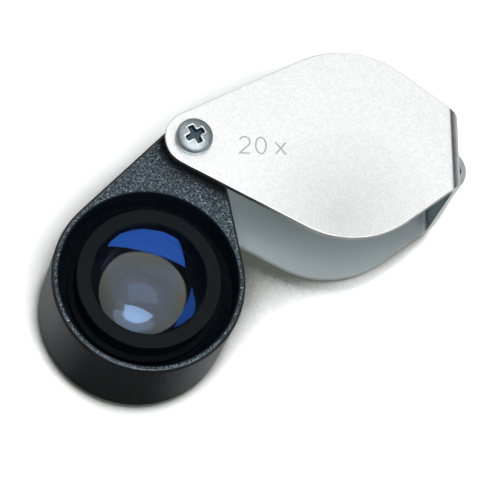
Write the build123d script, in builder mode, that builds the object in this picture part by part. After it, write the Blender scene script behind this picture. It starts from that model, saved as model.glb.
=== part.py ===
"""Folding loupe: a sheet-metal cover and a lens head that swings out of it on one pivot.

Millimetres, +Z up. The origin is on the pivot axis, on the outer face of the cover's bottom
plate, which is the face that the loupe lies on. +X runs along the cover to its closed end.
The head is modelled swung out to its open position.
"""

from build123d import *
from math import cos, radians, sin, sqrt
import os

# ---- Driving dimensions: cover, one strip bent into a U --------------------------------------
COVER_HEIGHT = 18.5  # over both plates
SHEET = 1.0
COVER_PIVOT_R = 3.85  # rounded nose of each plate, centred on the pivot
COVER_BELLY_X = 21.06
COVER_BELLY_R = 13.4
COVER_END_X = 36.87
COVER_END_HALF_WIDTH = 4.98
BEND_OUTER_R = 1.6
EDGE_BREAK = 0.1  # deburred edge of the strip's outer face

# ---- Driving dimensions: lens head -----------------------------------------------------------
SIDE_GAP = 0.3  # between each plate and the head
HEAD_R = 13.0
HEAD_NOSE_R = 3.43
HEAD_ARM = 20.48  # pivot axis to lens axis
OPEN_ANGLE = -107.3  # degrees from +X to the lens axis
HEAD_BORE_R = 12.0
HEAD_EDGE_R = 0.5
BORE_EDGE_R = 0.3
WEB_LOW_Z = 7.0
WEB_HIGH_Z = 12.0

# ---- Driving dimensions: lens barrel ---------------------------------------------------------
BARREL_R = 9.63
BARREL_MOUTH_R = 7.77
BARREL_LIP_R = 7.6
BARREL_SEAT_R = 8.0
BARREL_THREAD_R = 8.3
THREAD_RUNOUT = 0.1
BARREL_SHOULDER_R = 10.4
BARREL_SHOULDER_HEIGHT = 1.2
BARREL_EDGE_BREAK = 0.15

# ---- Driving dimensions: glass, each surface by its radius of curvature and its apex height ---
FRONT_LENS_R = 7.95
FRONT_TOP_RADIUS = 18.0
FRONT_TOP_Z = 16.79
FRONT_BOTTOM_RADIUS = 80.0
FRONT_BOTTOM_Z = 12.2
REAR_LENS_R = 5.4
FLINT_TOP_RADIUS = 6.7
FLINT_TOP_Z = 10.3
CEMENT_RADIUS = 5.0
CEMENT_Z = 9.6
CEMENT_R = 4.6  # the cemented surface is spherical out to here, then flat
CROWN_BOTTOM_RADIUS = 27.0
CROWN_BOTTOM_Z = 4.6

# ---- Driving dimensions: rings inside the barrel ---------------------------------------------
RING_R = 7.95
SPACER_INNER_R = 7.0
STOP_R = 5.03
STOP_HIGH_Z = 10.9
STOP_LOW_Z = 10.5
CELL_LIP_R = 5.2
CELL_BORE_R = 5.45
REAR_RING_LOW_Z = 2.3
REAR_RING_INNER_R = 5.0
REAR_RING_MOUTH_R = 6.6
LOCK_RING_R = 11.2
LOCK_RING_HEIGHT = 1.6
SPANNER_SLOT_WIDTH = 1.2
SPANNER_SLOT_DEPTH = 0.8
STOP_BEVEL = 0.3

# ---- Driving dimensions: pivot ---------------------------------------------------------------
POST_R = 2.0
POST_HEAD_R = 3.0
COUNTERSINK_TAPER = 45
POST_SPANNER_HOLE_R = 0.4
POST_SPANNER_PITCH = 3.4
POST_SPANNER_DEPTH = 0.6
RUNNING_CLEARANCE = 0.05
SCREW_R = 1.25
SCREW_HOLE_R = 1.35
SCREW_LENGTH = 8.0
SCREW_HEAD_R = 2.5
SCREW_HEAD_HEIGHT = 1.75
SCREW_RIM_HEIGHT = 0.85
SCREW_EDGE_BREAK = 0.1
SCREW_SHOULDER_R = 2.4  # control point of the head's rounded top
SCREW_SHOULDER_DROP = 0.05
RECESS_SPAN = 2.75
RECESS_ARM = 0.9
RECESS_DEPTH = 1.1
RECESS_TAPER = 5
RECESS_CORNER_R = 0.2
RECESS_MOUTH_R = 0.1
RECESS_MOUTH_DROP = 0.3  # the dome falls less than this over the recess
RECESS_TURN = 31.0
BUSH_R = 2.6
BUSH_LENGTH = 5.0
WASHER_R = 3.3
WASHER_BORE_R = 2.1
WASHER_PLAY = 0.02
SPRING_SHEET = 0.12

# ---- Driving dimensions: lanyard lug ---------------------------------------------------------
LUG_R = 3.3
LUG_CENTRE_X = 36.35
LUG_THICKNESS = 1.2
LUG_HOLE_R = 1.0
LUG_HOLE_X = 37.95
LUG_NECK_WIDTH = 4.4
LUG_FOOT_WIDTH = 6.4
LUG_FOOT_HEIGHT = 2.8
LUG_FOOT_THICKNESS = 0.8
LUG_FOOT_CORNER_R = 1.0

# ---- Driving dimensions: engraved magnification ----------------------------------------------
MARK_DEPTH = 0.07
MARK_STROKE = 0.2
MARK_BASELINE = -1.85
MARK_HEIGHT = 2.35
MARK_X = 6.25  # left edge of the first digit
MARK_PITCH = 2.2
MARK_DIGIT_WIDTH = 1.4
MARK_CROSS_HEIGHT = 1.7
MARK_CROSS_GAP = 0.5
MARK_BOWL_START = 165  # the top bowl of the 2 runs clockwise from here, in degrees
MARK_BOWL_END = -45

# ---- Worked out from the driving dimensions --------------------------------------------------
PLATE_TOP_INNER = COVER_HEIGHT - SHEET
BEND_INNER_R = BEND_OUTER_R - SHEET
HEAD_LOW_Z = SHEET + SIDE_GAP
HEAD_HIGH_Z = PLATE_TOP_INNER - SIDE_GAP
HEAD_THICKNESS = HEAD_HIGH_Z - HEAD_LOW_Z
LENS_X = HEAD_ARM * cos(radians(OPEN_ANGLE))
LENS_Y = HEAD_ARM * sin(radians(OPEN_ANGLE))
BUSH_BORE_R = POST_R + RUNNING_CLEARANCE


def sag(radius, distance):
    """Depth of a spherical surface at a distance from its axis."""
    return radius - sqrt(radius**2 - distance**2)


FRONT_SEAT_Z = FRONT_TOP_Z - sag(FRONT_TOP_RADIUS, BARREL_LIP_R)
FRONT_SPACER_Z = FRONT_BOTTOM_Z + sag(FRONT_BOTTOM_RADIUS, SPACER_INNER_R)
FLINT_SEAT_Z = FLINT_TOP_Z - sag(FLINT_TOP_RADIUS, CELL_LIP_R)
REAR_RING_Z = CROWN_BOTTOM_Z - sag(CROWN_BOTTOM_RADIUS, REAR_LENS_R)
BARREL_STEP_Z = REAR_RING_Z + THREAD_RUNOUT


def lens_axis(height=0.0):
    """XY plane on the lens axis, at a height."""
    return Plane((LENS_X, LENS_Y, height))


def save(part, name):
    """Label a finished piece and write its STEP file."""
    part.label = name
    export_step(part, f"parts/{name}.step")


def radial_plane(axis_x, axis_y):
    """Upright plane through a vertical axis: local x is the radius, local y the height."""
    return Plane((axis_x, axis_y, 0), x_dir=(1, 0, 0), z_dir=(0, -1, 0))


def turned(points, axis_x=0.0, axis_y=0.0):
    """Ring or shaft turned from a closed outline of (radius, height) points."""
    with BuildPart() as piece:
        with BuildSketch(radial_plane(axis_x, axis_y)):
            with BuildLine():
                Polyline(*points, close=True)
            make_face()
        revolve(axis=Axis((axis_x, axis_y, 0), (0, 0, 1)))
    return piece.part


def ring(inner, outer, low, high, axis_x=0.0, axis_y=0.0):
    """Plain ring between two heights."""
    outline = ((inner, low), (outer, low), (outer, high), (inner, high))
    return turned(outline, axis_x, axis_y)


def lens(edge_r, top_radius, top_z, top_r, bottom_radius, bottom_z, bottom_r):
    """Round lens between two surfaces; a positive radius is convex upwards. Each surface is
    spherical out to its own r, then flat to the edge."""

    def height(radius, apex, distance):
        return apex - sag(radius, distance) if radius > 0 else apex + sag(-radius, distance)

    top_rim = height(top_radius, top_z, top_r)
    bottom_rim = height(bottom_radius, bottom_z, bottom_r)
    top_middle = height(top_radius, top_z, top_r / 2)
    bottom_middle = height(bottom_radius, bottom_z, bottom_r / 2)
    with BuildPart() as glass:
        with BuildSketch(radial_plane(LENS_X, LENS_Y)):
            with BuildLine():
                Line((0, bottom_z), (0, top_z))
                ThreePointArc((0, top_z), (top_r / 2, top_middle), (top_r, top_rim))
                if top_r < edge_r:
                    Line((top_r, top_rim), (edge_r, top_rim))
                Line((edge_r, top_rim), (edge_r, bottom_rim))
                if bottom_r < edge_r:
                    Line((edge_r, bottom_rim), (bottom_r, bottom_rim))
                ThreePointArc((bottom_r, bottom_rim), (bottom_r / 2, bottom_middle), (0, bottom_z))
            make_face()
        revolve(axis=Axis((LENS_X, LENS_Y, 0), (0, 0, 1)))
    return glass.part


os.makedirs("parts", exist_ok=True)

# ---- Cover: one bent strip, open along both sides --------------------------------------------
LUG_Z = COVER_HEIGHT / 2
with BuildPart() as cover_shell:
    with BuildSketch(Plane.XY):
        with BuildLine():
            CenterArc((0, 0), COVER_PIVOT_R, 0, 360)
            CenterArc((COVER_BELLY_X, 0), COVER_BELLY_R, 0, 360)
            Line((COVER_END_X, -COVER_END_HALF_WIDTH), (COVER_END_X, COVER_END_HALF_WIDTH))
        make_hull()
    extrude(amount=COVER_HEIGHT)
    fillet(edges().filter_by(Axis.Y).sort_by(Axis.X)[-2:], radius=BEND_OUTER_R)
    outer_outline = faces().filter_by(Axis.Z).edges().filter_by(Axis.Y, reverse=True)
    fillet(outer_outline, radius=EDGE_BREAK)
    with BuildSketch(Plane.XZ):
        with Locations((COVER_END_X - SHEET, COVER_HEIGHT / 2)):
            Rectangle(2 * COVER_END_X, COVER_HEIGHT - 2 * SHEET, align=(Align.MAX, Align.CENTER))
        fillet(vertices().sort_by(Axis.X)[-2:], radius=BEND_INNER_R)
    extrude(amount=2 * COVER_BELLY_R, both=True, mode=Mode.SUBTRACT)

    # Screw hole in the top plate, countersunk seat in the bottom plate.
    with Locations((0, 0, COVER_HEIGHT)):
        Hole(SCREW_HOLE_R, depth=SHEET)
    with BuildSketch(Plane.XY):
        Circle(POST_HEAD_R)
    extrude(amount=POST_HEAD_R - BUSH_BORE_R, taper=COUNTERSINK_TAPER, mode=Mode.SUBTRACT)
    with BuildSketch(Plane.XY):
        Circle(BUSH_BORE_R)
    extrude(amount=SHEET, mode=Mode.SUBTRACT)

    # Slot for the lanyard lug's neck.
    with BuildSketch(Plane.YZ.offset(COVER_END_X)):
        with Locations((0, LUG_Z)):
            Rectangle(LUG_NECK_WIDTH, LUG_THICKNESS)
    extrude(amount=-SHEET, mode=Mode.SUBTRACT)

    # Engraved "20 x": the strokes of the 2, the ring of the 0, then the two strokes of the cross.
    bowl_r = MARK_DIGIT_WIDTH / 2
    bowl_x = MARK_X + bowl_r
    bowl_y = MARK_BASELINE + MARK_HEIGHT - bowl_r
    bowl_sweep = MARK_BOWL_END - MARK_BOWL_START
    tail_x = bowl_x + bowl_r * cos(radians(MARK_BOWL_END))
    tail_y = bowl_y + bowl_r * sin(radians(MARK_BOWL_END))
    cross_x = MARK_X + 2 * MARK_PITCH + MARK_CROSS_GAP
    cross_top = MARK_BASELINE + MARK_CROSS_HEIGHT
    cross_right = cross_x + MARK_DIGIT_WIDTH
    half_stroke = MARK_STROKE / 2
    with BuildSketch(Plane.XY.offset(COVER_HEIGHT)):
        with BuildLine():
            CenterArc((bowl_x, bowl_y), bowl_r, MARK_BOWL_START, bowl_sweep)
            Line((tail_x, tail_y), (MARK_X, MARK_BASELINE))
            Line((MARK_X, MARK_BASELINE), (MARK_X + MARK_DIGIT_WIDTH, MARK_BASELINE))
        trace(line_width=MARK_STROKE)
        with Locations((bowl_x + MARK_PITCH, MARK_BASELINE + MARK_HEIGHT / 2)):
            Ellipse(bowl_r + half_stroke, MARK_HEIGHT / 2 + half_stroke)
            Ellipse(bowl_r - half_stroke, MARK_HEIGHT / 2 - half_stroke, mode=Mode.SUBTRACT)
        for start_y, end_y in ((MARK_BASELINE, cross_top), (cross_top, MARK_BASELINE)):
            with BuildLine():
                Line((cross_x, start_y), (cross_right, end_y))
            trace(line_width=MARK_STROKE)
    extrude(amount=-MARK_DEPTH, mode=Mode.SUBTRACT)
save(cover_shell.part, "cover_shell")

# ---- Pivot: a countersunk post from below, a cross-recessed screw from above ------------------
with BuildPart() as pivot_post:
    with BuildSketch(Plane.XY):
        Circle(POST_HEAD_R)
    extrude(amount=POST_HEAD_R - BUSH_BORE_R, taper=COUNTERSINK_TAPER)
    with BuildSketch(Plane.XY):
        Circle(POST_R)
    extrude(amount=PLATE_TOP_INNER)
    with BuildSketch(Plane.XY.offset(PLATE_TOP_INNER)):
        Circle(SCREW_R)
    extrude(amount=-(SCREW_LENGTH + SCREW_R), mode=Mode.SUBTRACT)
    with BuildSketch(Plane.XY):
        with GridLocations(POST_SPANNER_PITCH, 0, 2, 1):
            Circle(POST_SPANNER_HOLE_R)
    extrude(amount=POST_SPANNER_DEPTH, mode=Mode.SUBTRACT)
save(pivot_post.part, "pivot_post")

with BuildPart() as pivot_screw:
    crown_z = COVER_HEIGHT + SCREW_HEAD_HEIGHT
    rim_z = COVER_HEIGHT + SCREW_RIM_HEIGHT
    foot_r = SCREW_HEAD_R - SCREW_EDGE_BREAK
    foot_z = COVER_HEIGHT + SCREW_EDGE_BREAK
    tip_z = PLATE_TOP_INNER - SCREW_LENGTH
    shoulder = (SCREW_SHOULDER_R, crown_z - SCREW_SHOULDER_DROP)
    with BuildSketch(Plane.XZ):
        with BuildLine():
            Polyline(
                (0, crown_z),
                (0, tip_z),
                (SCREW_R, tip_z),
                (SCREW_R, COVER_HEIGHT),
                (foot_r, COVER_HEIGHT),
                (SCREW_HEAD_R, foot_z),
                (SCREW_HEAD_R, rim_z),
            )
            Bezier((SCREW_HEAD_R, rim_z), shoulder, (0, crown_z))
        make_face()
    revolve(axis=Axis.Z)
    with BuildSketch(Plane.XY.offset(crown_z).rotated((0, 0, RECESS_TURN))):
        Rectangle(RECESS_SPAN, RECESS_ARM)
        Rectangle(RECESS_ARM, RECESS_SPAN)
        fillet(vertices(), radius=RECESS_CORNER_R)
    extrude(amount=-RECESS_DEPTH, taper=RECESS_TAPER, mode=Mode.SUBTRACT)
    mouth_low = crown_z - RECESS_MOUTH_DROP
    recess_mouth = edges(Select.LAST).filter_by_position(Axis.Z, mouth_low, crown_z)
    fillet(recess_mouth, radius=RECESS_MOUTH_R)
save(pivot_screw.part, "pivot_screw")

# ---- Friction parts on the post, one in each side gap ----------------------------------------
spring_low = HEAD_HIGH_Z + WASHER_PLAY
spring_high = PLATE_TOP_INNER - WASHER_PLAY
spring_outline = (
    (WASHER_BORE_R, spring_high - SPRING_SHEET),
    (WASHER_R, spring_low),
    (WASHER_R, spring_low + SPRING_SHEET),
    (WASHER_BORE_R, spring_high),
)
save(turned(spring_outline), "spring_washer")
friction_washer = ring(WASHER_BORE_R, WASHER_R, SHEET + WASHER_PLAY, HEAD_LOW_Z - WASHER_PLAY)
save(friction_washer, "friction_washer")

# ---- Lanyard lug: a drilled tab, peened over inside the end of the cover ----------------------
with BuildPart() as lanyard_lug:
    with BuildSketch(Plane.XY.offset(LUG_Z - LUG_THICKNESS / 2)):
        with Locations((LUG_CENTRE_X, 0)):
            Circle(LUG_R)
        with Locations((COVER_END_X, 0)):
            Rectangle(2 * LUG_R, 3 * LUG_R, align=(Align.MAX, Align.CENTER), mode=Mode.SUBTRACT)
            Rectangle(SHEET, LUG_NECK_WIDTH, align=(Align.MAX, Align.CENTER))
        with Locations((LUG_HOLE_X, 0)):
            Circle(LUG_HOLE_R, mode=Mode.SUBTRACT)
    extrude(amount=LUG_THICKNESS)
    with BuildSketch(Plane.YZ.offset(COVER_END_X - SHEET)):
        with Locations((0, LUG_Z)):
            RectangleRounded(LUG_FOOT_WIDTH, LUG_FOOT_HEIGHT, LUG_FOOT_CORNER_R)
    extrude(amount=-LUG_FOOT_THICKNESS)
save(lanyard_lug.part, "lanyard_lug")

# ---- Head housing: solid teardrop with a recess in each face and a web between them ------------
def is_bore_mouth(edge):
    """True for the circle where a recess opens through one of the head's two faces."""
    on_a_face = min(abs(edge.center().Z - HEAD_LOW_Z), abs(edge.center().Z - HEAD_HIGH_Z)) < 0.01
    return on_a_face and abs(edge.radius - HEAD_BORE_R) < 0.01


with BuildPart() as head_housing:
    with BuildSketch(Plane.XY.offset(HEAD_LOW_Z)):
        with BuildLine():
            CenterArc((0, 0), HEAD_NOSE_R, 0, 360)
            CenterArc((LENS_X, LENS_Y), HEAD_R, 0, 360)
        make_hull()
    extrude(amount=HEAD_THICKNESS)
    fillet(faces().filter_by(Axis.Z).edges(), radius=HEAD_EDGE_R)
    with BuildSketch(lens_axis(HEAD_HIGH_Z)):
        Circle(HEAD_BORE_R)
    extrude(amount=WEB_HIGH_Z - HEAD_HIGH_Z, mode=Mode.SUBTRACT)
    with BuildSketch(lens_axis(HEAD_LOW_Z)):
        Circle(HEAD_BORE_R)
    extrude(amount=WEB_LOW_Z - HEAD_LOW_Z, mode=Mode.SUBTRACT)
    mouth_edges = edges().filter_by(GeomType.CIRCLE).filter_by(is_bore_mouth)
    fillet(mouth_edges, radius=BORE_EDGE_R)
    with BuildSketch(lens_axis(WEB_LOW_Z)):
        Circle(BARREL_R)
    extrude(amount=WEB_HIGH_Z - WEB_LOW_Z, mode=Mode.SUBTRACT)
    with BuildSketch(Plane.XY.offset(HEAD_LOW_Z)):
        Circle(BUSH_R)
    extrude(amount=HEAD_THICKNESS, mode=Mode.SUBTRACT)
save(head_housing.part, "head_housing")

# ---- Bushes pressed into the housing's nose, one from each face --------------------------------
upper_bush = ring(BUSH_BORE_R, BUSH_R, HEAD_HIGH_Z - BUSH_LENGTH, HEAD_HIGH_Z)
lower_bush = ring(BUSH_BORE_R, BUSH_R, HEAD_LOW_Z, HEAD_LOW_Z + BUSH_LENGTH)
save(upper_bush, "upper_bush")
save(lower_bush, "lower_bush")

# ---- Lens barrel, screwed through the web down to its shoulder ---------------------------------
shoulder_high = WEB_HIGH_Z + BARREL_SHOULDER_HEIGHT
barrel_outline = (
    (BARREL_THREAD_R, HEAD_LOW_Z),
    (BARREL_R - BARREL_EDGE_BREAK, HEAD_LOW_Z),
    (BARREL_R, HEAD_LOW_Z + BARREL_EDGE_BREAK),
    (BARREL_R, WEB_HIGH_Z),
    (BARREL_SHOULDER_R, WEB_HIGH_Z),
    (BARREL_SHOULDER_R, shoulder_high),
    (BARREL_R, shoulder_high),
    (BARREL_R, HEAD_HIGH_Z - BARREL_EDGE_BREAK),
    (BARREL_R - BARREL_EDGE_BREAK, HEAD_HIGH_Z),
    (BARREL_MOUTH_R, HEAD_HIGH_Z),
    (BARREL_LIP_R, FRONT_SEAT_Z),
    (BARREL_SEAT_R, FRONT_SEAT_Z),
    (BARREL_SEAT_R, BARREL_STEP_Z),
    (BARREL_THREAD_R, BARREL_STEP_Z),
)
save(turned(barrel_outline, LENS_X, LENS_Y), "lens_barrel")


def slotted_ring(inner_low, inner_high, outer, low, high):
    """Threaded ring with two spanner slots across its lower face."""
    outline = ((inner_low, low), (outer, low), (outer, high), (inner_high, high))
    with BuildPart() as piece:
        add(turned(outline, LENS_X, LENS_Y))
        with BuildSketch(lens_axis(low)):
            Rectangle(2 * outer + SPANNER_SLOT_WIDTH, SPANNER_SLOT_WIDTH)
        extrude(amount=SPANNER_SLOT_DEPTH, mode=Mode.SUBTRACT)
    return piece.part


lock_low = WEB_LOW_Z - LOCK_RING_HEIGHT
lock_ring = slotted_ring(BARREL_R, BARREL_R, LOCK_RING_R, lock_low, WEB_LOW_Z)
save(lock_ring, "barrel_lock_ring")
rear_ring = slotted_ring(
    REAR_RING_MOUTH_R, REAR_RING_INNER_R, BARREL_THREAD_R, REAR_RING_LOW_Z, REAR_RING_Z
)
save(rear_ring, "rear_retaining_ring")

# ---- Glass: a single front lens, then a smaller cemented pair behind the stop ----------------
front_top = (FRONT_TOP_RADIUS, FRONT_TOP_Z, FRONT_LENS_R)
front_bottom = (-FRONT_BOTTOM_RADIUS, FRONT_BOTTOM_Z, FRONT_LENS_R)
flint_top = (FLINT_TOP_RADIUS, FLINT_TOP_Z, REAR_LENS_R)
cement = (CEMENT_RADIUS, CEMENT_Z, CEMENT_R)
crown_bottom = (CROWN_BOTTOM_RADIUS, CROWN_BOTTOM_Z, REAR_LENS_R)
save(lens(FRONT_LENS_R, *front_top, *front_bottom), "front_lens")
save(lens(REAR_LENS_R, *flint_top, *cement), "rear_flint_lens")
save(lens(REAR_LENS_R, *cement, *crown_bottom), "rear_crown_lens")

# ---- Spacer and knife-edged stop between the lenses, and the cell that holds the cemented pair -
front_spacer = ring(SPACER_INNER_R, RING_R, STOP_HIGH_Z, FRONT_SPACER_Z, LENS_X, LENS_Y)
save(front_spacer, "front_spacer_ring")
stop_outline = (
    (STOP_R, STOP_LOW_Z),
    (RING_R, STOP_LOW_Z),
    (RING_R, STOP_HIGH_Z),
    (STOP_R + STOP_BEVEL, STOP_HIGH_Z),
)
save(turned(stop_outline, LENS_X, LENS_Y), "aperture_stop")
cell_outline = (
    (CELL_BORE_R, REAR_RING_Z),
    (RING_R, REAR_RING_Z),
    (RING_R, STOP_LOW_Z),
    (CELL_LIP_R, STOP_LOW_Z),
    (CELL_LIP_R, FLINT_SEAT_Z),
    (CELL_BORE_R, FLINT_SEAT_Z),
)
save(turned(cell_outline, LENS_X, LENS_Y), "rear_lens_cell")
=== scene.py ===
"""Folding loupe: surfaces, glass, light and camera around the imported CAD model.

Everything is in metres, in the CAD model's own frame: the origin is on the pivot axis at the
table, +X runs along the cover and +Z is up. The lens head stands swung out of the cover.
"""

import math

import bmesh
import bpy
from mathutils import Matrix, Vector


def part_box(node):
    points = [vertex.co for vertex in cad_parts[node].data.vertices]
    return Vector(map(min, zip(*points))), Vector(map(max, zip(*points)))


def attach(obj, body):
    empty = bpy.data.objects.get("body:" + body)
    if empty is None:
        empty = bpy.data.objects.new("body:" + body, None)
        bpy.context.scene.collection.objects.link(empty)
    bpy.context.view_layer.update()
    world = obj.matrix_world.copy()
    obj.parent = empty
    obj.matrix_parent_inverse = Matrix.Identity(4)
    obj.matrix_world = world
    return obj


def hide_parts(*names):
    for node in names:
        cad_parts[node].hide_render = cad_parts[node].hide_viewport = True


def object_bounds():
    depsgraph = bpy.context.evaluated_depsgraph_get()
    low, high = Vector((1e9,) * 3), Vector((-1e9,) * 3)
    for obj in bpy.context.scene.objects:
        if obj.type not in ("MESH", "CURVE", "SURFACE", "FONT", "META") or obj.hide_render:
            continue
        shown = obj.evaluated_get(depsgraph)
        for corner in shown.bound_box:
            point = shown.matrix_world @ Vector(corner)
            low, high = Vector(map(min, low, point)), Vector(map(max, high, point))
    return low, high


MM = 0.001

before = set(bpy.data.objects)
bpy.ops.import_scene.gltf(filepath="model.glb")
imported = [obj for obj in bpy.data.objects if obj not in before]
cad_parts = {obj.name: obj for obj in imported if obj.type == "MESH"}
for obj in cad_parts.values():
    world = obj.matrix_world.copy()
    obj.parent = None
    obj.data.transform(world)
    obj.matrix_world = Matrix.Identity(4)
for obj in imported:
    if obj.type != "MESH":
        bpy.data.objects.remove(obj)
cad_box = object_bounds()


# ---- Camera --------------------------------------------------------------------------------------
CAMERA_PLACE = Vector((-62.04, -147.04, 401.44)) * MM
CAMERA_TARGET = Vector((8.98, -12.43, 9.25)) * MM
CAMERA_ROLL = math.radians(28.08)
CAMERA_LENS = 222.45  # millimetres of focal length
SENSOR_WIDTH = 36.0  # millimetres
CLIP_NEAR = 0.01
CLIP_FAR = 20.0


def add_camera():
    """Long lens, 21 degrees off overhead, rolled so that the cover points up and to the right."""
    data = bpy.data.cameras.new("camera")
    data.lens = CAMERA_LENS
    data.sensor_width = SENSOR_WIDTH
    data.clip_start = CLIP_NEAR
    data.clip_end = CLIP_FAR
    camera = bpy.data.objects.new("camera", data)
    bpy.context.scene.collection.objects.link(camera)
    look = (CAMERA_TARGET - CAMERA_PLACE).to_track_quat("-Z", "Y").to_matrix()
    roll = Matrix.Rotation(CAMERA_ROLL, 3, "Z")
    camera.matrix_world = Matrix.Translation(CAMERA_PLACE) @ (look @ roll).to_4x4()
    bpy.context.scene.camera = camera
    bpy.context.scene.view_settings.view_transform = "Standard"


add_camera()

# ---- Places taken from the CAD model -------------------------------------------------------------
lens_low, lens_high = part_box("front_lens")
LENS_AXIS = (lens_low + lens_high) / 2
LENS_RADIUS = (lens_high.x - lens_low.x) / 2
HEAD_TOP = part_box("head_housing")[1].z
SCREW_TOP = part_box("pivot_screw")[1].z
cover_low, cover_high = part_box("cover_shell")
SHEET = 1.0 * MM  # thickness of the cover's strip
BEND_REACH = 1.7 * MM  # the bend at the end of the cover starts this far from its end face
HEAD_BORE = 12.0 * MM  # radius of the recess round the lens barrel
RIM_DEPTH = 1.0 * MM  # below this the turned black parts mirror less, painted shade
RECESS_REACH = 1.36 * MM  # half the span of the screw's cross recess
RECESS_HALF_ARM = 0.45 * MM
RECESS_TURN = math.radians(31.0)  # turn of the cross recess from the cover's length
HIGHLIGHT_BORDER_WIDTH = 0.17 * MM  # width of the painted highlight round the recess
PIVOT_AXIS = Vector((0.0, 0.0, 0.0))
SHADE_PATCH_AXIS = Vector((20.0, -11.0, 0.0)) * MM  # painted shade: the plates are darker round this upright axis
SHADE_PATCH_RADIUS = 14 * MM
SHADE_PATCH_TONE = 0.76  # tone in its middle, as a share of the plates'


# ---- Node helpers --------------------------------------------------------------------------------
def node(tree, kind, inputs=None, **settings):
    """New node; an input's value is either a plain value or another node's output socket."""
    made = tree.nodes.new(kind)
    for name, value in settings.items():
        setattr(made, name, value)
    for name, value in (inputs or {}).items():
        socket = made.inputs[name]
        if isinstance(value, bpy.types.NodeSocket):
            tree.links.new(value, socket)
        else:
            socket.default_value = value
    return made


def blank_material(name):
    """Material with an empty tree and its output node."""
    material = bpy.data.materials.new(name)
    material.use_nodes = True
    tree = material.node_tree
    tree.nodes.clear()
    return material, tree, node(tree, "ShaderNodeOutputMaterial")


def object_place(tree):
    """Coordinates in metres, fixed to the piece."""
    return node(tree, "ShaderNodeTexCoord").outputs["Object"]


def height_of(tree, vector):
    """Z of a vector."""
    return node(tree, "ShaderNodeSeparateXYZ", {0: vector}).outputs["Z"]


def face_direction(tree):
    """Direction that the face looks in, without bump or smoothing."""
    return node(tree, "ShaderNodeNewGeometry").outputs["True Normal"]


def noise(tree, place, size, detail=2.0, roughness=0.5, distortion=0.0):
    """Noise from 0 to 1 with blobs about size metres across."""
    inputs = {"Vector": place, "Scale": 1 / size, "Detail": detail}
    inputs.update({"Roughness": roughness, "Distortion": distortion})
    return node(tree, "ShaderNodeTexNoise", inputs).outputs["Fac"]


def math_node(tree, operation, first, second=0.0):
    return node(tree, "ShaderNodeMath", {0: first, 1: second}, operation=operation).outputs[0]


def near(tree, value, middle, reach):
    """1 where value lies within reach of middle, and 0 elsewhere."""
    inputs = {0: value, 1: middle, 2: reach}
    return node(tree, "ShaderNodeMath", inputs, operation="COMPARE").outputs[0]


def vector_node(tree, operation, first, *second):
    """Vector result of an operation on one or two vectors."""
    inputs = dict(enumerate((first, *second)))
    return node(tree, "ShaderNodeVectorMath", inputs, operation=operation).outputs["Vector"]


def spread(tree, value, low, high, to_low, to_high):
    """Value mapped from low..high to to_low..to_high, clamped."""
    inputs = {"Value": value, "From Min": low, "From Max": high}
    inputs.update({"To Min": to_low, "To Max": to_high})
    return node(tree, "ShaderNodeMapRange", inputs, clamp=True).outputs["Result"]


def blend_colours(tree, share, first, second):
    """Colour between first and second."""
    made = node(tree, "ShaderNodeMix", data_type="RGBA")
    for socket, value in ((made.inputs[0], share), (made.inputs[6], first), (made.inputs[7], second)):
        if isinstance(value, bpy.types.NodeSocket):
            tree.links.new(value, socket)
        else:
            socket.default_value = value
    return made.outputs[2]


def mix_shaders(tree, share, first, second):
    made = node(tree, "ShaderNodeMixShader", {0: share})
    tree.links.new(first, made.inputs[1])
    tree.links.new(second, made.inputs[2])
    return made.outputs[0]


def colour(red, green, blue):
    return (red, green, blue, 1.0)


def bump(tree, height, depth):
    """Normal of a surface whose relief is height (0 to 1) times depth metres."""
    inputs = {"Height": height, "Distance": depth, "Strength": 1.0}
    return node(tree, "ShaderNodeBump", inputs).outputs["Normal"]


def surface(tree, output, **inputs):
    """Principled surface joined to the output."""
    names = {key.replace("_", " ").title(): value for key, value in inputs.items()}
    names = {name.replace("Ior", "IOR"): value for name, value in names.items()}
    shader = node(tree, "ShaderNodeBsdfPrincipled", names)
    tree.links.new(shader.outputs["BSDF"], output.inputs["Surface"])


def axis_distance(tree, place, centre):
    """Distance of a point from the upright axis through centre."""
    offset = vector_node(tree, "SUBTRACT", place, (centre.x, centre.y, 0.0))
    flat = vector_node(tree, "MULTIPLY", offset, (1.0, 1.0, 0.0))
    return node(tree, "ShaderNodeVectorMath", {0: flat}, operation="LENGTH").outputs["Value"]


def turning_marks(tree, place, centre, pitch):
    """Fine rings round an axis, as a lathe leaves them, from 0 to 1."""
    along = math_node(tree, "ADD", axis_distance(tree, place, centre), height_of(tree, place))
    phase = math_node(tree, "MULTIPLY", along, 2 * math.pi / pitch)
    wave = math_node(tree, "SINE", phase)
    return spread(tree, wave, -1.0, 1.0, 0.0, 1.0)


# ---- Materials -----------------------------------------------------------------------------------
PLATE_TONES = (colour(0.92, 0.925, 0.925), colour(0.96, 0.96, 0.96))
# painted shade on the cut edges of the plates
CUT_EDGE_SHADE_TONE = colour(0.46, 0.47, 0.47)
BOTTOM_PLATE_SHADE_TONE = colour(0.64, 0.71, 0.73)  # painted shade on the upper side of the bottom plate, under the top plate
# painted shade on the inside of the end band
BAND_INSIDE_SHADE_TONE = colour(0.30, 0.37, 0.395)
ENGRAVED_TONE = colour(0.42, 0.43, 0.44)
GRAIN_SIZE = 0.30 * MM
GRAIN_DEPTH = 0.007 * MM
ENGRAVED_DEPTHS = (0.03 * MM, 0.12 * MM)  # the digits' floor lies between these
CUT_EDGE_SLOPES = (0.97, 0.90)  # a face turns into a cut edge as its direction's Z falls so
INWARD_SLOPES = (-0.6, -0.9)  # a face of the bend turns inward as its direction's X falls so


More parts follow.
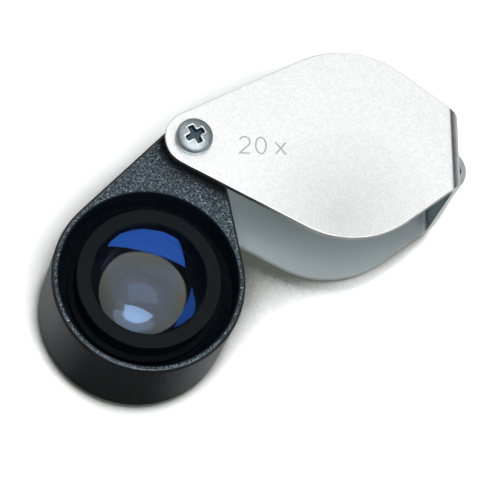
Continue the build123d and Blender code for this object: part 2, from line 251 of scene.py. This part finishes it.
def satin_cover():
    """Fine-grained satin metal. The cut edges, the upper side of the bottom plate and the inside of
    the end band are darkened with painted shade, and so are the plates round an upright axis. The
    engraved digits have a darker tone of their own."""
    material, tree, output = blank_material("satin_cover")
    place = object_place(tree)
    grain = noise(tree, place, GRAIN_SIZE, detail=3.0, roughness=0.6)
    cloud = noise(tree, place, 9 * MM, detail=2.0)
    along = node(tree, "ShaderNodeSeparateXYZ", {0: place}).outputs
    facing = node(tree, "ShaderNodeSeparateXYZ", {0: face_direction(tree)}).outputs
    speck = spread(tree, grain, 0.35, 0.65, 0.88, 1.0)
    # painted shade: the plates' grain is darkened round an upright axis
    from_shade_patch = axis_distance(tree, place, SHADE_PATCH_AXIS)
    shade_patch = spread(tree, from_shade_patch, 0.0, SHADE_PATCH_RADIUS, SHADE_PATCH_TONE, 1.0)
    speck = math_node(tree, "MULTIPLY", speck, shade_patch)
    tone = vector_node(tree, "MULTIPLY", blend_colours(tree, cloud, *PLATE_TONES), speck)

    # painted shade on the cut edges of the plates, away from the bend
    steep = spread(tree, math_node(tree, "ABSOLUTE", facing["Z"]), *CUT_EDGE_SLOPES, 0.0, 1.0)
    on_plates = math_node(tree, "LESS_THAN", along["X"], cover_high.x - BEND_REACH)
    cut = math_node(tree, "MULTIPLY", steep, on_plates)
    tone = blend_colours(tree, cut, tone, CUT_EDGE_SHADE_TONE)

    # painted shade on the upper side of the bottom plate, under the top plate
    bottom_plate_shade = near(tree, along["Z"], cover_low.z + SHEET, 0.1 * SHEET)
    tone = blend_colours(tree, bottom_plate_shade, tone, BOTTOM_PLATE_SHADE_TONE)

    # painted shade on the inside of the end band
    inward = spread(tree, facing["X"], *INWARD_SLOPES, 0.0, 1.0)
    on_band = math_node(tree, "SUBTRACT", 1.0, on_plates)
    band_inside_shade = math_node(tree, "MULTIPLY", on_band, inward)
    tone = blend_colours(tree, band_inside_shade, tone, BAND_INSIDE_SHADE_TONE)

    under_top = math_node(tree, "LESS_THAN", along["Z"], cover_high.z - ENGRAVED_DEPTHS[0])
    over_floor = math_node(tree, "GREATER_THAN", along["Z"], cover_high.z - ENGRAVED_DEPTHS[1])
    level = math_node(tree, "GREATER_THAN", facing["Z"], 0.9)
    engraved = math_node(tree, "MULTIPLY", math_node(tree, "MULTIPLY", under_top, over_floor), level)
    surface(
        tree,
        output,
        base_color=blend_colours(tree, engraved, tone, ENGRAVED_TONE),
        metallic=1.0,
        roughness=spread(tree, grain, 0.3, 0.7, 0.30, 0.42),
        normal=bump(tree, grain, GRAIN_DEPTH),
    )
    return material


LATHE_PITCH = 0.12 * MM
LATHE_DEPTH = 0.001 * MM
CLOUD_SHADE = 0.8  # the darker clouds' tone, as a share of the tint


def turned_metal(name, tint, roughness):
    """Machined metal with lathe rings round the pivot axis."""
    material, tree, output = blank_material(name)
    place = object_place(tree)
    rings = turning_marks(tree, place, PIVOT_AXIS, LATHE_PITCH)
    cloud = noise(tree, place, 1.5 * MM, detail=4.0)
    darker = colour(*(CLOUD_SHADE * part for part in tint))
    base = blend_colours(tree, cloud, colour(*tint), darker)
    surface(
        tree,
        output,
        base_color=base,
        metallic=1.0,
        roughness=spread(tree, cloud, 0.3, 0.7, roughness * 0.85, roughness * 1.15),
        normal=bump(tree, rings, LATHE_DEPTH),
    )
    return material


def cross_distance(tree, place):
    """Distance outside the outline of the screw's cross recess; negative inside it."""
    inputs = {"Vector": place, "Angle": -RECESS_TURN}
    turned = node(tree, "ShaderNodeVectorRotate", inputs, rotation_type="Z_AXIS").outputs["Vector"]
    reach = vector_node(tree, "ABSOLUTE", turned)
    axes = node(tree, "ShaderNodeSeparateXYZ", {0: reach}).outputs
    bars = []
    for along, across in (("X", "Y"), ("Y", "X")):
        past_end = math_node(tree, "SUBTRACT", axes[along], RECESS_REACH)
        past_side = math_node(tree, "SUBTRACT", axes[across], RECESS_HALF_ARM)
        bars.append(math_node(tree, "MAXIMUM", past_end, past_side))
    return math_node(tree, "MINIMUM", *bars)


SCREW_TONES = (colour(0.27, 0.31, 0.33), colour(0.44, 0.49, 0.52))
# painted shade in the cross recess
RECESS_SHADE_TONE = colour(0.07, 0.10, 0.12)
# painted highlight round the cross recess
BORDER_HIGHLIGHT_TONE = colour(0.90, 0.95, 0.97)
HIGHLIGHT_BORDER_DEPTHS = (0.28 * MM, 0.20 * MM)  # the painted highlight is gone at the first depth and full at the second
RECESS_DEPTHS = (0.10 * MM, 0.30 * MM)  # the painted shade in the recess begins, and is full


def zinc_screw():
    """Grey screw. Its cross recess is darkened with painted shade, and a painted highlight runs round
    the recess, where the CAD's own fillet is too small to be seen."""
    material, tree, output = blank_material("zinc_screw")
    place = object_place(tree)
    cloud = noise(tree, place, 0.35 * MM, detail=4.0)
    inside = math_node(tree, "LESS_THAN", axis_distance(tree, place, PIVOT_AXIS), RECESS_REACH)
    depth = math_node(tree, "SUBTRACT", SCREW_TOP, height_of(tree, place))
    sunk = spread(tree, depth, *RECESS_DEPTHS, 0.0, 1.0)
    # painted shade in the cross recess
    recess_shade = math_node(tree, "MULTIPLY", inside, sunk)
    outside = cross_distance(tree, place)
    # painted highlight round the cross recess
    border = spread(tree, outside, 0.5 * HIGHLIGHT_BORDER_WIDTH, HIGHLIGHT_BORDER_WIDTH, 1.0, 0.0)
    border = math_node(tree, "MULTIPLY", border, spread(tree, depth, *HIGHLIGHT_BORDER_DEPTHS, 0.0, 1.0))
    tone = blend_colours(tree, border, blend_colours(tree, cloud, *SCREW_TONES), BORDER_HIGHLIGHT_TONE)
    surface(
        tree,
        output,
        base_color=blend_colours(tree, recess_shade, tone, RECESS_SHADE_TONE),
        metallic=1.0,
        roughness=spread(tree, cloud, 0.3, 0.7, 0.50, 0.62),
        normal=bump(tree, cloud, 0.006 * MM),
    )
    return material


WRINKLE_SIZE = 0.21 * MM
WRINKLE_DEPTH = 0.16 * MM
VALLEY_TONE = colour(0.006, 0.010, 0.013)
# painted sheen: the wrinkle's ridges are painted lighter than its valleys
RIDGE_SHEEN_TONE = colour(0.29, 0.38, 0.45)
SIDE_TONES = (colour(0.006, 0.006, 0.006), colour(0.012, 0.012, 0.012))
# painted shade where the ambient occlusion node finds something close
AO_SHADE_TONE = colour(0.003, 0.004, 0.005)
# painted shade inside the recesses round the barrel
LACQUER_RECESS_SHADE_TONE = colour(0.007, 0.011, 0.016)
FLAT_SLOPES = (0.95, 0.995)  # a face counts as flat as its direction's Z rises so
RIDGE_LEVELS = (0.49, 0.61)  # the wrinkle's noise rises from valley to ridge between these
SHELTER_REACH = 3.6 * MM
SHELTER_LEVELS = (0.80, 0.98)  # openness at which the lacquer is darkest, and is fully lit


def crinkle_lacquer():
    """Black wrinkle paint on the two flat faces of the head, smoother on its side wall, with a painted
    sheen: the wrinkle's ridges are painted lighter. Inside the recesses round the barrel it is near
    black with little gloss, painted shade. Where something stands close, such as the edge of the
    cover, an ambient occlusion node paints shade: it darkens the flat faces and dims the gloss. The
    rounded edges get less gloss, a painted dark line."""
    material, tree, output = blank_material("crinkle_lacquer")
    place = object_place(tree)
    wrinkle = noise(tree, place, WRINKLE_SIZE, detail=2.0, roughness=0.6, distortion=1.0)
    fine = noise(tree, place, 0.09 * MM, detail=2.0)
    slope = math_node(tree, "ABSOLUTE", height_of(tree, face_direction(tree)))
    flat = spread(tree, slope, *FLAT_SLOPES, 0.0, 1.0)
    ridge = spread(tree, wrinkle, *RIDGE_LEVELS, 0.0, 1.0)
    relief = math_node(tree, "MULTIPLY", ridge, spread(tree, flat, 0.0, 1.0, 0.32, 1.0))
    relief = math_node(tree, "ADD", relief, math_node(tree, "MULTIPLY", fine, 0.05))

    shelter = node(tree, "ShaderNodeAmbientOcclusion", {"Distance": SHELTER_REACH}, samples=4)
    exposed = spread(tree, shelter.outputs["AO"], *SHELTER_LEVELS, 0.04, 1.0)
    # painted sheen: ridges lighter than valleys
    crinkled = blend_colours(tree, ridge, VALLEY_TONE, RIDGE_SHEEN_TONE)
    # painted shade where the ambient occlusion node finds something close
    crinkled = blend_colours(tree, exposed, AO_SHADE_TONE, crinkled)
    lacquer = blend_colours(tree, flat, blend_colours(tree, fine, *SIDE_TONES), crinkled)
    distance = axis_distance(tree, place, LENS_AXIS)
    # painted shade inside the recesses round the barrel
    recessed = spread(tree, distance, HEAD_BORE + 0.10 * MM, HEAD_BORE + 0.35 * MM, 1.0, 0.0)
    lacquer = blend_colours(tree, recessed, lacquer, LACQUER_RECESS_SHADE_TONE)

    # gloss: less in the recesses round the barrel and where the ambient occlusion finds something
    # close, painted shade
    shine = math_node(tree, "MULTIPLY", spread(tree, recessed, 0.0, 1.0, 0.6, 0.06), exposed)
    shine = math_node(tree, "ADD", shine, spread(tree, flat, 0.0, 1.0, 0.5, 0.0))
    shine = math_node(tree, "MULTIPLY", shine, spread(tree, recessed, 0.0, 1.0, 1.0, 0.1))
    rounded = near(tree, slope, 0.5, 0.42)  # the rounded edges between a flat face and the wall
    # less gloss on the rounded edges, a painted dark line along them
    shine = math_node(tree, "MULTIPLY", shine, spread(tree, rounded, 0.0, 1.0, 1.0, 0.25))
    surface(
        tree,
        output,
        base_color=lacquer,
        roughness=spread(tree, flat, 0.0, 1.0, 0.36, 0.24),
        specular_ior_level=shine,
        specular_tint=colour(0.80, 0.93, 1.0),
        normal=bump(tree, relief, WRINKLE_DEPTH),
    )
    return material


BARREL_PITCH = 0.16 * MM
BARREL_RING_DEPTH = 0.0012 * MM
BEVEL_TONE = colour(0.010, 0.011, 0.013)
BEVEL_SHINE = 0.25
SHADE_BELOW_RIM_SHINE = 0.25  # painted shade: gloss below the rim, as a share of the gloss at the rim


def black_metal(name, tone, roughness, specular):
    """Black turned part with lathe rings. Its bevelled edges mirror more. The part of it below the
    rim mirrors less, painted shade."""
    material, tree, output = blank_material(name)
    place = object_place(tree)
    rings = turning_marks(tree, place, LENS_AXIS, BARREL_PITCH)
    cloud = noise(tree, place, 0.8 * MM, detail=4.0)
    dark = colour(0.75 * tone, 0.95 * tone, 1.2 * tone)
    base = blend_colours(tree, cloud, dark, colour(1.2 * tone, 1.5 * tone, 1.9 * tone))
    bevel = near(tree, height_of(tree, face_direction(tree)), 0.7, 0.08)
    rim = (HEAD_TOP - RIM_DEPTH, HEAD_TOP - 0.5 * RIM_DEPTH)
    # painted shade: less gloss below the rim
    shine = spread(tree, height_of(tree, place), *rim, SHADE_BELOW_RIM_SHINE, 1.0)
    shine = math_node(tree, "MULTIPLY", shine, specular)
    surface(
        tree,
        output,
        base_color=blend_colours(tree, bevel, base, BEVEL_TONE),
        roughness=spread(tree, cloud, 0.3, 0.7, roughness * 0.9, roughness * 1.1),
        specular_ior_level=spread(tree, bevel, 0.0, 1.0, shine, BEVEL_SHINE),
        specular_tint=colour(0.78, 0.94, 1.0),
        normal=bump(tree, rings, BARREL_RING_DEPTH),
    )
    return material


NYLON_TONES = (colour(0.78, 0.77, 0.72), colour(0.86, 0.85, 0.81))


def white_nylon():
    """Slightly translucent white plastic, faintly mottled."""
    material, tree, output = blank_material("white_nylon")
    place = object_place(tree)
    cloud = noise(tree, place, 0.6 * MM, detail=3.0)
    surface(
        tree,
        output,
        base_color=blend_colours(tree, cloud, *NYLON_TONES),
        roughness=0.45,
        subsurface_weight=0.2,
        subsurface_radius=(0.5 * MM, 0.5 * MM, 0.4 * MM),
        normal=bump(tree, cloud, 0.01 * MM),
    )
    return material


POLISHED = 0.0  # roughness
GLASS_TINT = colour(0.985, 0.99, 0.985)
SHADOW_TINT = colour(0.96, 0.97, 0.97)  # what a lamp's light keeps on its way through a face


def clear_glass(name, index, mirror, tint):
    """Polished glass face: index is that of the piece over that of what lies outside the face,
    mirror the share that its coating reflects straight on, and tint the coating's colour. It lets
    shadow rays straight through, so that lamps light what lies behind it."""
    material, tree, output = blank_material(name)
    place = object_place(tree)
    streak = noise(tree, place, 4 * MM, detail=2.0)
    straight_on = ((index - 1) / (index + 1)) ** 2
    slanted = node(tree, "ShaderNodeFresnel", {"IOR": index}).outputs[0]
    coated = math_node(tree, "MULTIPLY", spread(tree, streak, 0.3, 0.7, 0.94, 1.06), mirror)
    share = math_node(tree, "ADD", math_node(tree, "SUBTRACT", slanted, straight_on), coated)
    share = math_node(tree, "MINIMUM", math_node(tree, "MAXIMUM", share, 0.0), 1.0)
    bending = {"Color": GLASS_TINT, "IOR": index, "Roughness": POLISHED}
    bend = node(tree, "ShaderNodeBsdfRefraction", bending)
    shine = node(tree, "ShaderNodeBsdfGlossy", {"Color": colour(*tint), "Roughness": POLISHED})
    glass = mix_shaders(tree, share, bend.outputs[0], shine.outputs[0])
    clear = node(tree, "ShaderNodeBsdfTransparent", {"Color": SHADOW_TINT})
    lamp_ray = node(tree, "ShaderNodeLightPath").outputs["Is Shadow Ray"]
    shown = mix_shaders(tree, lamp_ray, glass, clear.outputs[0])
    tree.links.new(shown, output.inputs["Surface"])
    return material


def cement_face():
    """Face that is cemented to the other glass, which bends the light there instead."""
    material, tree, output = blank_material("cement_face")
    streak = noise(tree, object_place(tree), 4 * MM)
    tone = blend_colours(tree, streak, colour(0.99, 0.99, 0.985), colour(0.995, 0.995, 0.99))
    clear = node(tree, "ShaderNodeBsdfTransparent", {"Color": tone})
    tree.links.new(clear.outputs[0], output.inputs["Surface"])
    return material


FLOOR_SHOWN = colour(1.3, 1.3, 1.3)  # as the camera sees it
SHADE_TONE = colour(0.095, 0.108, 0.092)  # what the camera sees where the shadow is deepest
FLOOR_THROWN = (0.07, 0.08, 0.085)  # as it lights the loupe from below
FLOOR_THROUGH = colour(0.175, 0.170, 0.150)  # as seen through the loupe's glass
FLOOR_MIRRORED = colour(0.46, 0.47, 0.47)  # as mirrored by the outside of the loupe
BLACK = colour(0.0, 0.0, 0.0)
SHADED_SIDE = (-0.25, -0.97, 0.0)  # towards this side of the lens the mirrored floor is dimmed
LENS_FOOT = (LENS_AXIS.x, LENS_AXIS.y, 0.0)
SHADE_REACH = 30 * MM
SHADE_DARK = 0.50  # openness at which the floor's shadow is deepest
SHADE_CLEAR = 0.66  # openness above which the floor shows no shadow
SHADE_FALLOFF = 1.25
DIMMED_ANGLES = (0.30, 0.90)  # cosines to SHADED_SIDE at which dimming begins, and is complete
DIMMED_TONE = 0.06


def floor_shown(tree, tooth):
    """The floor's tone for the camera: white, with a soft shadow that an ambient occlusion node
    draws round the loupe."""
    openness = node(tree, "ShaderNodeAmbientOcclusion", {"Distance": SHADE_REACH}, samples=16)
    lit = spread(tree, openness.outputs["AO"], SHADE_DARK, SHADE_CLEAR, 0.0, 1.0)
    lit = math_node(tree, "POWER", lit, SHADE_FALLOFF)
    lit = math_node(tree, "MULTIPLY", lit, spread(tree, tooth, 0.3, 0.7, 1.0, 1.03))
    return blend_colours(tree, lit, SHADE_TONE, FLOOR_SHOWN)


def floor_mirrored(tree):
    """The floor's tone in the outside of the loupe, dimmed towards one side of the lens."""
    offset = vector_node(tree, "SUBTRACT", object_place(tree), LENS_FOOT)
    bearing = vector_node(tree, "NORMALIZE", offset)
    inputs = {0: bearing, 1: SHADED_SIDE}
    towards = node(tree, "ShaderNodeVectorMath", inputs, operation="DOT_PRODUCT").outputs["Value"]
    lit = spread(tree, towards, *DIMMED_ANGLES, 1.0, DIMMED_TONE)
    return blend_colours(tree, lit, BLACK, FLOOR_MIRRORED)


def floor_paper():
    """White paper with a faint tooth. Its tone is chosen by kind of ray: one for the camera, one
    through glass, one in a first reflection, and a dark one for all other light it throws back."""
    material, tree, output = blank_material("floor_paper")
    tooth = noise(tree, object_place(tree), 1.5 * MM, detail=4.0)
    ray = node(tree, "ShaderNodeLightPath").outputs
    brighter = colour(*(1.03 * part for part in FLOOR_THROWN))
    tone = blend_colours(tree, tooth, colour(*FLOOR_THROWN), brighter)
    tone = blend_colours(tree, ray["Is Transmission Ray"], tone, FLOOR_THROUGH)
    first = math_node(tree, "LESS_THAN", ray["Ray Depth"], 1.5)
    mirrored = math_node(tree, "MULTIPLY", ray["Is Glossy Ray"], first)
    tone = blend_colours(tree, mirrored, tone, floor_mirrored(tree))
    tone = blend_colours(tree, ray["Is Camera Ray"], tone, floor_shown(tree, tooth))
    matt = node(tree, "ShaderNodeBsdfDiffuse", {"Color": tone, "Normal": bump(tree, tooth, 0.01 * MM)})
    tree.links.new(matt.outputs[0], output.inputs["Surface"])
    return material


# ---- Finishes of the CAD pieces ------------------------------------------------------------------
STEEL = (0.62, 0.63, 0.64)
SPRING_METAL = (0.50, 0.51, 0.53)
LUG_METAL = (0.40, 0.42, 0.42)
BRASS = (0.78, 0.60, 0.32)


def paint(material, *names):
    """Gives CAD nodes a material in place of their plain one."""
    for name in names:
        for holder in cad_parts[name].material_slots:
            holder.material = material


anodised = black_metal("black_anodised", 0.004, 0.45, 0.09)
blackened = black_metal("blackened_inside", 0.003, 0.65, 0.05)

paint(satin_cover(), "cover_shell")
paint(turned_metal("satin_lug", LUG_METAL, 0.40), "lanyard_lug")
paint(zinc_screw(), "pivot_screw")
paint(turned_metal("turned_steel", STEEL, 0.32), "pivot_post")
paint(turned_metal("spring_steel", SPRING_METAL, 0.30), "spring_washer")
paint(turned_metal("bush_brass", BRASS, 0.33), "upper_bush", "lower_bush")
paint(white_nylon(), "friction_washer")
paint(crinkle_lacquer(), "head_housing")
paint(anodised, "lens_barrel", "barrel_lock_ring", "rear_retaining_ring")
paint(blackened, "front_spacer_ring", "aperture_stop", "rear_lens_cell")


# ---- Glass ---------------------------------------------------------------------------------------
LATHE_STEPS = 128
ARC_STEPS = 20
EDGE_BEVEL = 0.08 * MM
EDGE_GAP = 0.02 * MM  # these lenses are this much smaller in radius than the CAD's
CEMENT_FILM = 0.004 * MM
TOP_FACE = 0  # places of the materials on a lens
LOW_FACE = 1
GROUND_EDGE = 2
CROWN_INDEX = 1.52
FLINT_INDEX = 1.75
FRONT_INDEX = 1.52


def cap_height(apex, radius, distance):
    """Height of a spherical face at a distance from its axis; a positive radius is convex upwards."""
    drop = abs(radius) - math.sqrt(radius * radius - distance * distance)
    return apex - math.copysign(drop, radius)


def lens(name, top, low, edge_radius, materials):
    """Lens between two faces with a ground edge. Each face is an (apex height, radius, reach) triple:
    spherical out to its reach, then a flat flange out to the edge."""
    face_radius = edge_radius - EDGE_BEVEL
    profiles = []
    for apex, radius, reach in (top, low):
        reach = min(reach, face_radius)
        steps = [reach * i / ARC_STEPS for i in range(1, ARC_STEPS + 1)]
        profile = [(r, cap_height(apex, radius, r)) for r in steps]
        if reach < face_radius:
            profile.append((face_radius, profile[-1][1]))
        profiles.append(profile)
    upper = profiles[0]
    lower = profiles[1][::-1]
    rim = [(edge_radius, upper[-1][1] - EDGE_BEVEL), (edge_radius, lower[0][1] + EDGE_BEVEL)]
    outline = upper + rim + lower
    kinds = [TOP_FACE] * (len(upper) - 1) + [GROUND_EDGE] * 3 + [LOW_FACE] * (len(lower) - 1)
    mesh = bpy.data.meshes.new(name)
    shape = bmesh.new()
    rings = []
    for distance, height in outline:
        rings.append([
            shape.verts.new((
                LENS_AXIS.x + distance * math.cos(2 * math.pi * i / LATHE_STEPS),
                LENS_AXIS.y + distance * math.sin(2 * math.pi * i / LATHE_STEPS),
                height,
            ))
            for i in range(LATHE_STEPS)
        ])
    for kind, outer, inner in zip(kinds, rings, rings[1:]):
        for i in range(LATHE_STEPS):
            j = (i + 1) % LATHE_STEPS
            face = shape.faces.new((outer[i], inner[i], inner[j], outer[j]))
            face.material_index = kind
            face.smooth = True
    for kind, apex, ring in ((TOP_FACE, top[0], rings[0]), (LOW_FACE, low[0], rings[-1])):
        middle = shape.verts.new((LENS_AXIS.x, LENS_AXIS.y, apex))
        for i in range(LATHE_STEPS):
            corners = (middle, ring[i], ring[(i + 1) % LATHE_STEPS])
            face = shape.faces.new(corners if kind == TOP_FACE else corners[::-1])
            face.material_index = kind
            face.smooth = True
    bmesh.ops.recalc_face_normals(shape, faces=shape.faces)
    shape.to_mesh(mesh)
    shape.free()
    mesh.set_sharp_from_angle(angle=math.radians(20))
    for material in materials:
        mesh.materials.append(material)
    piece = bpy.data.objects.new(name, mesh)
    bpy.context.scene.collection.objects.link(piece)
    return piece


FRONT_TOP_CURVE = 18.0 * MM
FRONT_LOW_CURVE = 80.0 * MM
FLINT_TOP_CURVE = 6.7 * MM
CEMENT_CURVE = 5.0 * MM
CEMENT_REACH = 4.6 * MM
CROWN_LOW_CURVE = 27.0 * MM

BLUE_COAT = (0.05, 0.22, 1.0)
PALE_COAT = (0.35, 0.56, 1.0)
FAINT_COAT = (0.5, 0.6, 1.0)

crown_low, crown_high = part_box("rear_crown_lens")
flint_low, flint_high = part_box("rear_flint_lens")
REAR_RADIUS = (flint_high.x - flint_low.x) / 2
crown_low_apex = crown_low.z + cap_height(0.0, -CROWN_LOW_CURVE, REAR_RADIUS)

front_faces = (
    clear_glass("front_face", FRONT_INDEX, 0.002, FAINT_COAT),
    clear_glass("front_rear_face", FRONT_INDEX, 0.040, BLUE_COAT),
    blackened,
)
flint_faces = (
    clear_glass("flint_face", FLINT_INDEX, 0.022, PALE_COAT),
    clear_glass("cement_bond", FLINT_INDEX / CROWN_INDEX, 0.07, PALE_COAT),
    blackened,
)
crown_faces = (
    cement_face(),
    clear_glass("crown_face", CROWN_INDEX, 0.004, PALE_COAT),
    blackened,
)
front_glass = lens(
    "front_glass",
    (lens_high.z, FRONT_TOP_CURVE, LENS_RADIUS),
    (lens_low.z, -FRONT_LOW_CURVE, LENS_RADIUS),
    LENS_RADIUS - EDGE_GAP,
    front_faces,
)
flint_glass = lens(
    "flint_glass",
    (flint_high.z, FLINT_TOP_CURVE, REAR_RADIUS),
    (crown_high.z + CEMENT_FILM, CEMENT_CURVE, CEMENT_REACH),
    REAR_RADIUS - EDGE_GAP,
    flint_faces,
)
crown_glass = lens(
    "crown_glass",
    (crown_high.z, CEMENT_CURVE, CEMENT_REACH),
    (crown_low_apex, CROWN_LOW_CURVE, REAR_RADIUS),
    REAR_RADIUS - EDGE_GAP,
    crown_faces,
)
for glass, cad_node, slot_name in (
    (front_glass, "front_lens", "coated_glass"),
    (flint_glass, "rear_flint_lens", "coated_glass"),
    (crown_glass, "rear_crown_lens", "crown_glass"),
):
    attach(glass, "head")
    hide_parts(cad_node)


# ---- Floor, studio light and surroundings --------------------------------------------------------
FLOOR_SIZE = 1.8
FLOOR_GAP = 0.03 * MM  # keeps the paper and the plate that lies on it from sharing one plane
LAMP_HEIGHT = 0.9
LAMP_WATTS = math.pi  # watts per square metre for each unit of a lamp's radiance

# The panels' corners, as directions (east, north, 1) from the lens.
FRONT_PANEL = ((-0.38, 0.05), (0.86, -0.33), (0.62, -0.72), (-0.37, -0.60))
SIDE_PANEL = ((-0.51, 0.34), (-0.39, 0.94), (-0.51, 1.66), (-1.30, 1.62))
FRONT_RADIANCE = 8.0
SIDE_RADIANCE = 4.6
SOFTBOX_CORNER = (-0.25, 0.08)  # a direction too
SOFTBOX_SIDE = 0.85
SOFTBOX_RADIANCE = 1.02

ROOM_SEEN = colour(0.93, 0.93, 0.93)
ROOM_HORIZON = (colour(0.17, 0.19, 0.195), colour(0.33, 0.33, 0.33))  # all round, and to the east
ROOM_OVERHEAD = colour(0.02, 0.022, 0.024)


def add_floor():
    """White paper under the object."""
    mesh = bpy.data.meshes.new("floor")
    half = FLOOR_SIZE / 2
    corners = [(-half, -half, 0.0), (half, -half, 0.0), (half, half, 0.0), (-half, half, 0.0)]
    mesh.from_pydata(corners, [], [(0, 1, 2, 3)])
    mesh.materials.append(floor_paper())
    floor = bpy.data.objects.new("floor", mesh)
    floor.location.z = cad_box[0][2] - FLOOR_GAP
    bpy.context.scene.collection.objects.link(floor)


def softbox(name, corner, side, radiance):
    """Square lamp overhead, level, hung by its corner nearest -X and -Y."""
    data = bpy.data.lights.new(name, "AREA")
    data.shape = "RECTANGLE"
    data.size = side
    data.size_y = side
    data.energy = radiance * LAMP_WATTS * side * side
    lamp = bpy.data.objects.new(name, data)
    lamp.location = corner + Vector((side / 2, side / 2, 0.0))
    bpy.context.scene.collection.objects.link(lamp)


def glow_panel(name, corners, radiance):
    """Glowing cloth panel at lamp height with straight edges; each corner is given by the
    direction (east, north, 1) in which the lens sees it."""
    material, tree, output = blank_material(name)
    weave = noise(tree, object_place(tree), 0.05, detail=2.0)
    strength = spread(tree, weave, 0.3, 0.7, 0.98 * radiance, 1.02 * radiance)
    glow = node(tree, "ShaderNodeEmission", {"Strength": strength})
    tree.links.new(glow.outputs[0], output.inputs["Surface"])
    mesh = bpy.data.meshes.new(name)
    mesh.from_pydata([over_lens(*corner) for corner in corners], [], [range(len(corners))])
    mesh.materials.append(material)
    panel = bpy.data.objects.new(name, mesh)
    bpy.context.scene.collection.objects.link(panel)


def over_lens(east, north):
    """Point at lamp height, seen from the lens along (east, north, 1)."""
    return LENS_AXIS + Vector((east, north, 1.0)) * LAMP_HEIGHT


def add_surroundings():
    """Pale room for the camera; what the object mirrors is darker, and darkest overhead."""
    world = bpy.data.worlds.new("studio")
    bpy.context.scene.world = world
    world.use_nodes = True
    tree = world.node_tree
    tree.nodes.clear()
    output = node(tree, "ShaderNodeOutputWorld")
    direction = node(tree, "ShaderNodeTexCoord").outputs["Generated"]
    axes = node(tree, "ShaderNodeSeparateXYZ", {0: direction}).outputs
    east = spread(tree, axes["X"], 0.2, 0.9, 0.0, 1.0)
    high = spread(tree, axes["Z"], 0.0, 0.45, 0.0, 1.0)
    tone = blend_colours(tree, high, blend_colours(tree, east, *ROOM_HORIZON), ROOM_OVERHEAD)
    seen = node(tree, "ShaderNodeLightPath").outputs["Is Camera Ray"]
    tone = blend_colours(tree, seen, tone, ROOM_SEEN)
    glow = node(tree, "ShaderNodeBackground", {"Color": tone, "Strength": 1.0})
    tree.links.new(glow.outputs[0], output.inputs["Surface"])


add_floor()
add_surroundings()
softbox("overhead_softbox", over_lens(*SOFTBOX_CORNER), SOFTBOX_SIDE, SOFTBOX_RADIANCE)
glow_panel("front_panel", FRONT_PANEL, FRONT_RADIANCE)
glow_panel("side_panel", SIDE_PANEL, SIDE_RADIANCE)
